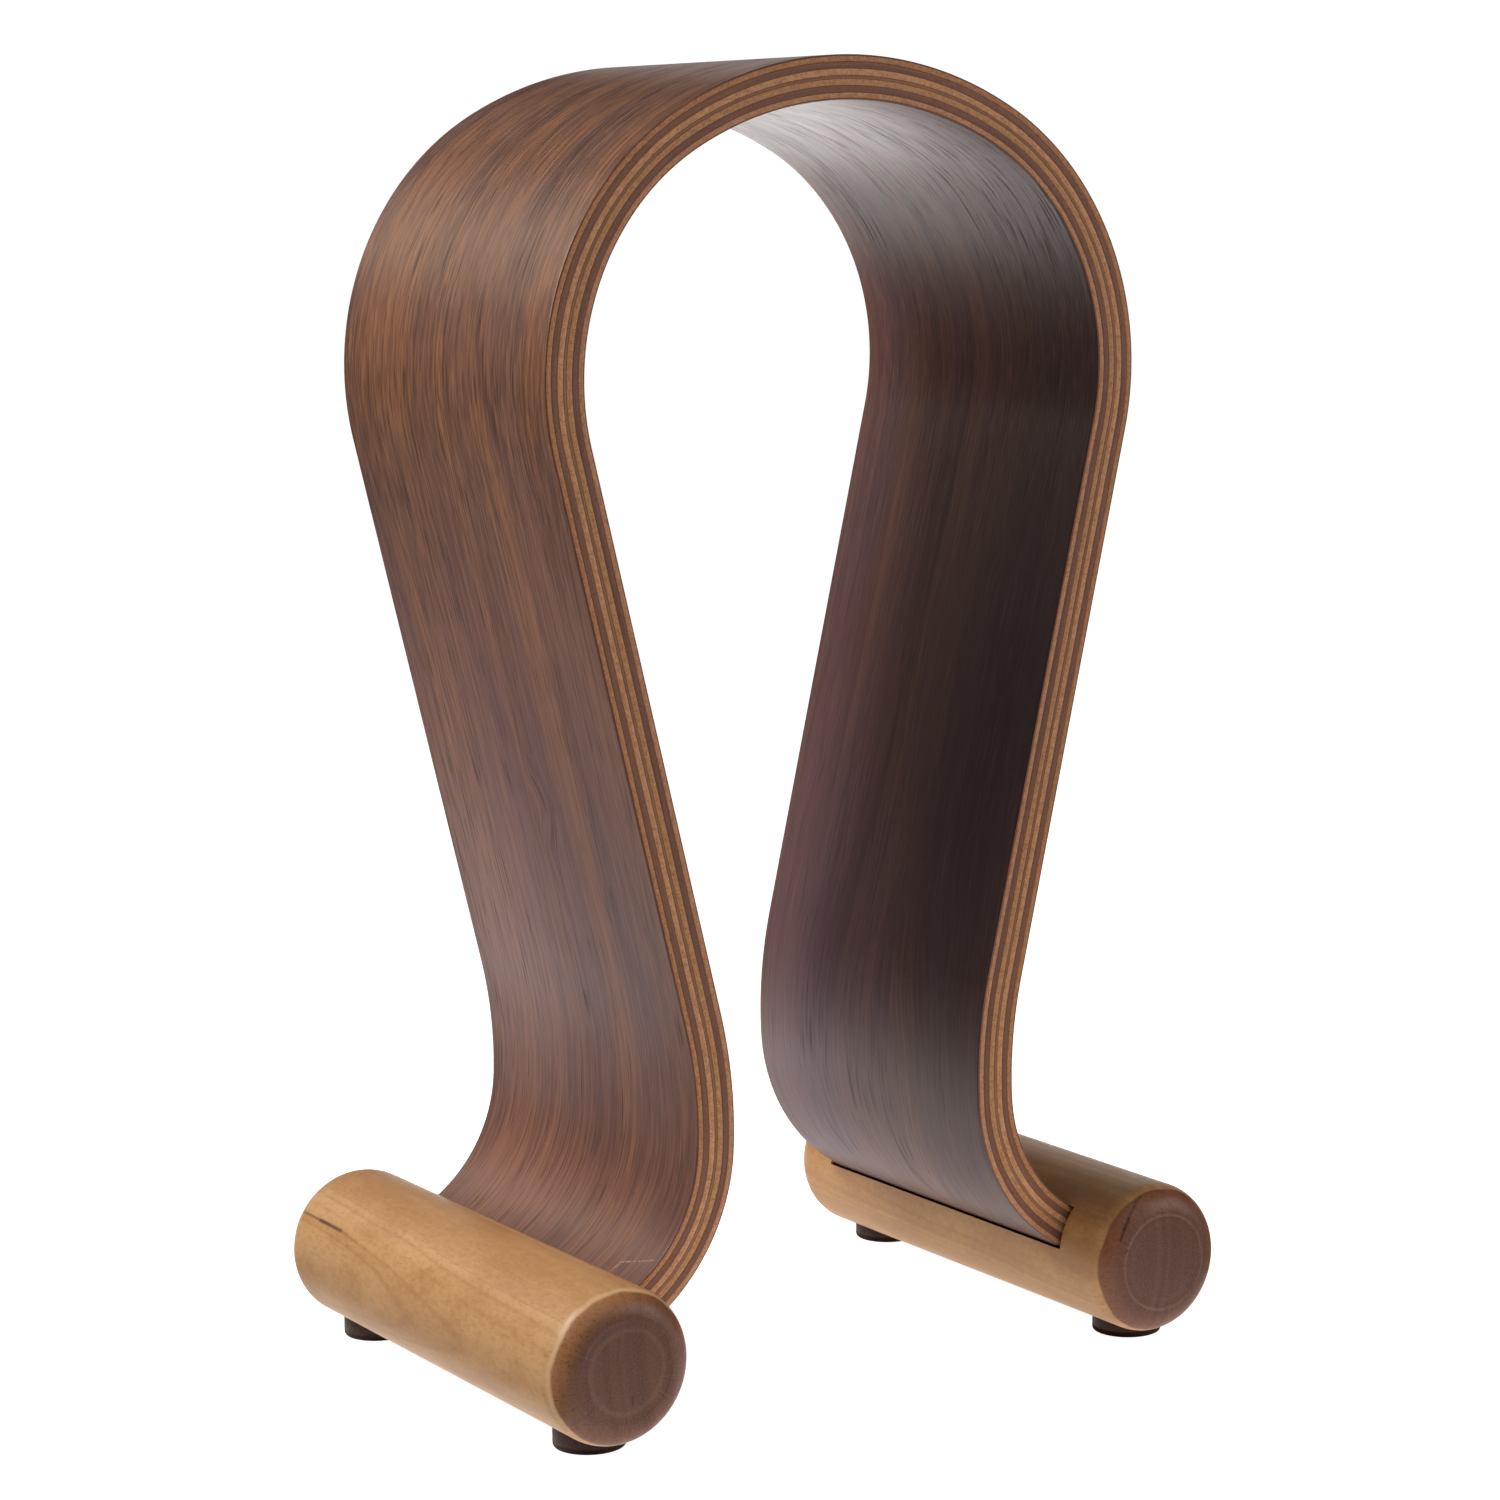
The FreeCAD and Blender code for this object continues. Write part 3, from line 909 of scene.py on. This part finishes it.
# Each bar's colours: its sides, its ends' rims at the upper left (paler there as painted light)
# and elsewhere, and their
# middle; how strong the pale lip, the rim's pale line of wear and painted highlight, and the
# turned ring are; and its dark lines:
# both ends from the bar's centre in metres, width, strength and colour.
FOOT_LOOKS = {
    "left": {
        "sides": (srgb(201, 155, 107), srgb(214, 170, 121)),
        "rim": (srgb(175, 122, 76), srgb(125, 76, 53)), "middle": srgb(94, 52, 35),
        "lip": 0.0, "rim_wear_and_highlight": 0.6, "ripple": 0.5, "lines": [
            ((-0.0128, 0.0530, 0.0083), (-0.0128, 0.0400, 0.0082), 0.45 * MM, 0.75,
             srgb(120, 78, 54)),
            ((-0.0128, 0.0440, 0.0082), (-0.0128, 0.0345, 0.0081), 0.65 * MM, 0.9,
             srgb(92, 54, 40)),
            ((-0.0128, 0.0345, 0.0081), (-0.0132, 0.0270, 0.0075), 0.5 * MM, 0.35,
             srgb(140, 92, 60)),
            ((0.0011, -0.0560, -0.0050), (0.0011, -0.0560, -0.0064), 0.4 * MM, 0.8,
             srgb(50, 28, 26)),
        ]},
    "right": {
        "sides": (srgb(196, 147, 93), srgb(209, 162, 105)),
        "rim": (srgb(145, 89, 57), srgb(134, 81, 57)), "middle": srgb(95, 58, 44),
        "lip": 0.45, "rim_wear_and_highlight": 0.0, "ripple": 0.15, "lines": [
            ((-0.0039, -0.0535, 0.0138), (-0.0062, -0.0544, 0.0121), 0.45 * MM, 0.55,
             srgb(70, 38, 34)),
            ((-0.0062, -0.0544, 0.0121), (-0.0081, -0.0550, 0.0101), 0.5 * MM, 0.75,
             srgb(60, 32, 32)),
            ((-0.0081, -0.0550, 0.0101), (-0.0094, -0.0553, 0.0081), 0.6 * MM, 0.9,
             srgb(46, 24, 26)),
            ((-0.0094, -0.0553, 0.0081), (-0.0105, -0.0555, 0.0061), 0.45 * MM, 0.85,
             srgb(50, 26, 24)),
            ((-0.0091, -0.0560, 0.0038), (-0.0096, -0.0560, 0.0036), 0.5 * MM, 0.8,
             srgb(56, 30, 26)),
        ]},
}


def boundaries():
    """Outward offsets of the boundaries between laminations, at every station of the path."""
    rng = random.Random(WAVER_SEED)
    last = len(OFFSETS) - 1
    amplitudes = {0: 0.0, 1: VENEER_WAVER, last - 1: VENEER_WAVER, last: 0.0}
    return [offset + waver(PATH[0], amplitudes.get(index, PLY_WAVER), rng)
            for index, offset in enumerate(OFFSETS)]


def corner_eases(node):
    """Easing of a lamination's outer and inner corners: a veneer's bare side is eased more."""
    outer = VENEER_EASE if node == "outer_face_veneer" else GLUE_LINE_EASE
    inner = VENEER_EASE if node == "inner_face_veneer" else GLUE_LINE_EASE
    return outer, inner


def band_pieces():
    """The nine laminations, each with its own material."""
    lines = boundaries()
    for index, (node, name, slot) in enumerate(LAYERS):
        veneer = slot == "walnut_veneer"
        piece = swept_layer(name, (lines[index], lines[index + 1]), BAND_DEPTH / 2,
                            corner_eases(node), veneer)
        glue = (OFFSETS[index + 1], OFFSETS[index])
        grain, speckle = (ACROSS_GRAIN, 0.6) if slot == "light_ply" else (ALONG_GRAIN, 0.3)
        edge = ply_edge(name + "_edge", index, *PLY_TONES[index], grain, speckle, glue)
        if veneer:
            piece.data.materials.append(
                walnut_face(name + "_face", 2.0 + index, FACE_LOOKS[node], FACE_KNOTS[node],
                            FACE_STREAKS[node], FACE_SCRATCHES[node]))
        piece.data.materials.append(edge)
        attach(piece, "root")
        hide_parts(node)


def foot_pieces():
    """Foot bars, pads and adhesive discs."""
    seed = 0
    for side, word in ((-1, "left"), (1, "right")):
        node = f"{word}_foot_bar"
        bar = foot_bar(f"foot_{word}", node, side)
        low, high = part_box(node)
        radius = (high.x - low.x) / 2
        centre = ((low.x + high.x) / 2, 0.0, high.z - radius)
        heart = (-HEART_IN * side, HEART_UP)
        wood = foot_wood(f"foot_wood_{word}", 5.0 + side * 2, centre, radius, heart,
                         FOOT_LOOKS[word])
        bar.data.materials.clear()
        bar.data.materials.append(wood)
        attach(bar, "root")
        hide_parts(node)
        for end in ("front", "back"):
            seed += 1
            node = f"{end}_{word}_pad"
            pad = felt_pad(f"pad_{end}_{word}", node, seed)
            pad.data.materials.append(FELT)
            disc = film_disc(f"adhesive_{end}_{word}", node + "_adhesive")
            disc.data.materials.append(FILM)
            for piece, stands_for, slot in ((pad, node, "pad_felt"),
                                            (disc, node + "_adhesive", "pad_adhesive")):
                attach(piece, "root")
                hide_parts(stands_for)


FELT = felt("felt", 3.0)
FILM = film("adhesive_film")
band_pieces()
foot_pieces()

# ---------------------------------------------------------------- studio

PAPER_TONES = (srgb(240, 240, 240), srgb(244, 244, 244))
TABLE_TONES = (srgb(176, 176, 176), srgb(184, 184, 184))


def soft_light(name, place, target, width, height, power, colour=WHITE):
    """A rectangular soft light aimed at a point, itself out of sight."""
    light = bpy.data.lights.new(name, "AREA")
    light.shape = "RECTANGLE"
    light.size, light.size_y = width, height
    light.energy = power
    light.color = colour
    obj = bpy.data.objects.new(name, light)
    obj.location = place
    obj.rotation_mode = "QUATERNION"
    obj.rotation_quaternion = (Vector(target) - Vector(place)).to_track_quat("-Z", "Y")
    obj.visible_camera = False
    bpy.context.scene.collection.objects.link(obj)


def round_about(azimuth, elevation, distance):
    """Point round the stand: azimuth 0 is in front of it and 90 to its right."""
    a, e = math.radians(azimuth), math.radians(elevation)
    return (distance * math.sin(a) * math.cos(e), -distance * math.cos(a) * math.cos(e),
            AIM[2] + distance * math.sin(e))


def at_side(azimuth):
    """Place of a large light well out from the stand, at the side lights' height."""
    x, y, _ = round_about(azimuth, 8, 1.4)
    return x, y, SIDE_LIGHTS_Z


def light_table(name, low, high, radiance):
    """A glowing patch of the table, which lights the stand from below."""
    width, depth = high[0] - low[0], high[1] - low[1]
    place = ((low[0] + high[0]) / 2, (low[1] + high[1]) / 2, LIGHT_TABLE_Z)
    soft_light(name, place, (place[0], place[1], 1.0), width, depth,
               math.pi * width * depth * radiance)


def plane(name, half, z, material):
    """A square sheet at a height, part of the studio."""
    mesh = bpy.data.meshes.new(name)
    mesh.from_pydata([(-half, -half, 0), (half, -half, 0), (half, half, 0), (-half, half, 0)],
                     [], [(0, 1, 2, 3)])
    mesh.materials.append(material)
    obj = bpy.data.objects.new(name, mesh)
    obj.location.z = z
    bpy.context.scene.collection.objects.link(obj)
    return obj


def only_seen(obj):
    """The camera sees this, and it neither lights nor shades anything."""
    obj.visible_diffuse = obj.visible_glossy = obj.visible_transmission = False
    obj.visible_shadow = obj.visible_volume_scatter = False


def floor_paper(name, glow_near, glow_far, tones=PAPER_TONES):
    """Pale matt paper that glows like a light table, more so away from the stand."""
    s = Surface(name)
    place = s.place()
    fleck = s.noise(place, (60.0, 60.0, 60.0), 1.0, 3.0)
    colour = s.mix(s.ramp(fleck, 0.3, 0.7), *tones)
    away = s.node("VectorMath", {0: place}, output=1, operation="LENGTH")
    glow = s.ramp(away, 0.15, 1.1, glow_near, glow_far)
    shader = s.node("BsdfPrincipled", {
        "Base Color": colour, "Roughness": s.ramp(fleck, 0.3, 0.7, 0.85, 0.95),
        "Normal": s.bump(fleck, 0.02 * MM, 0.3), "Specular IOR Level": 0.2,
        "Emission Color": (*WHITE, 1.0), "Emission Strength": glow})
    return s.shown(shader)


def backdrop():
    """A white dome all round, far off."""
    shape = bmesh.new()
    bmesh.ops.create_uvsphere(shape, u_segments=48, v_segments=24, radius=DOME_RADIUS)
    mesh = bpy.data.meshes.new("backdrop")
    shape.to_mesh(mesh)
    shape.free()
    mesh.materials.append(floor_paper("backdrop_paper", 1.0, 1.0))
    dome = bpy.data.objects.new("backdrop", mesh)
    bpy.context.scene.collection.objects.link(dome)
    only_seen(dome)


def dim_world():
    """Dim white surroundings."""
    world = bpy.data.worlds.new("surroundings")
    world.use_nodes = True
    background = world.node_tree.nodes["Background"]
    background.inputs["Color"].default_value = (*WHITE, 1.0)
    background.inputs["Strength"].default_value = SURROUNDINGS
    bpy.context.scene.world = world


def studio():
    """Pale floor and backdrop, dim surroundings and soft lights."""
    table = plane("floor_bounce", TABLE_HALF, TABLE_Z,
                  floor_paper("table_paper", 0.0, 0.0, TABLE_TONES))
    table.visible_camera = False
    table.visible_shadow = False
    only_seen(plane("floor", FLOOR_HALF, FLOOR_Z, floor_paper("floor_paper", 0.98, 1.0)))
    backdrop()
    dim_world()
    for name, place, size, power, colour in (
            ("left", round_about(-100, 38, 0.5), 0.15, 1.85, WARM),
            ("left_low", round_about(-100, 25, 0.5), 0.15, 0.36, WHITE),
            ("back_left", round_about(-155, 28, 1.4), 0.5, 1.3, AMBER),
            ("right_front", at_side(45), 0.9, 7.0, PEACH),
            ("front_high", round_about(0, 45, 1.4), 0.9, 2.4, WHITE),
            ("back", at_side(180), 0.9, 0.6, WHITE),
            ("right_back", at_side(135), 0.9, 1.8, WHITE)):
        soft_light(name, place, AIM, size, size, power, colour)
    light_table("table_back_right", (0.1, 0.12), (0.7, 0.9), 2.95)
    light_table("table_back", (-0.1, 0.12), (0.1, 0.9), 1.35)
    light_table("table_centre", (-0.081, -0.12), (0.1, 0.12), 0.74)


def camera():
    """Camera at the stand's left front, slightly above it."""
    data = bpy.data.cameras.new("camera")
    data.sensor_width = SENSOR_WIDTH
    data.lens = FOCAL_LENGTH
    data.clip_start, data.clip_end = CLIP_NEAR, CLIP_FAR
    obj = bpy.data.objects.new("camera", data)
    yaw, pitch, roll = CAMERA_YAW, CAMERA_PITCH, CAMERA_ROLL
    ahead = Vector((math.sin(yaw) * math.cos(pitch), math.cos(yaw) * math.cos(pitch),
                    math.sin(pitch)))
    right = Vector((math.cos(yaw), -math.sin(yaw), 0))
    up = right.cross(ahead)
    rolled_right = right * math.cos(roll) + up * math.sin(roll)
    rolled_up = up * math.cos(roll) - right * math.sin(roll)
    axes = Matrix((rolled_right, rolled_up, -ahead)).transposed()
    obj.matrix_world = Matrix.Translation(CAMERA_PLACE) @ axes.to_4x4()
    bpy.context.scene.collection.objects.link(obj)
    bpy.context.scene.camera = obj


studio()
camera()
bpy.context.scene.view_settings.view_transform = "Standard"
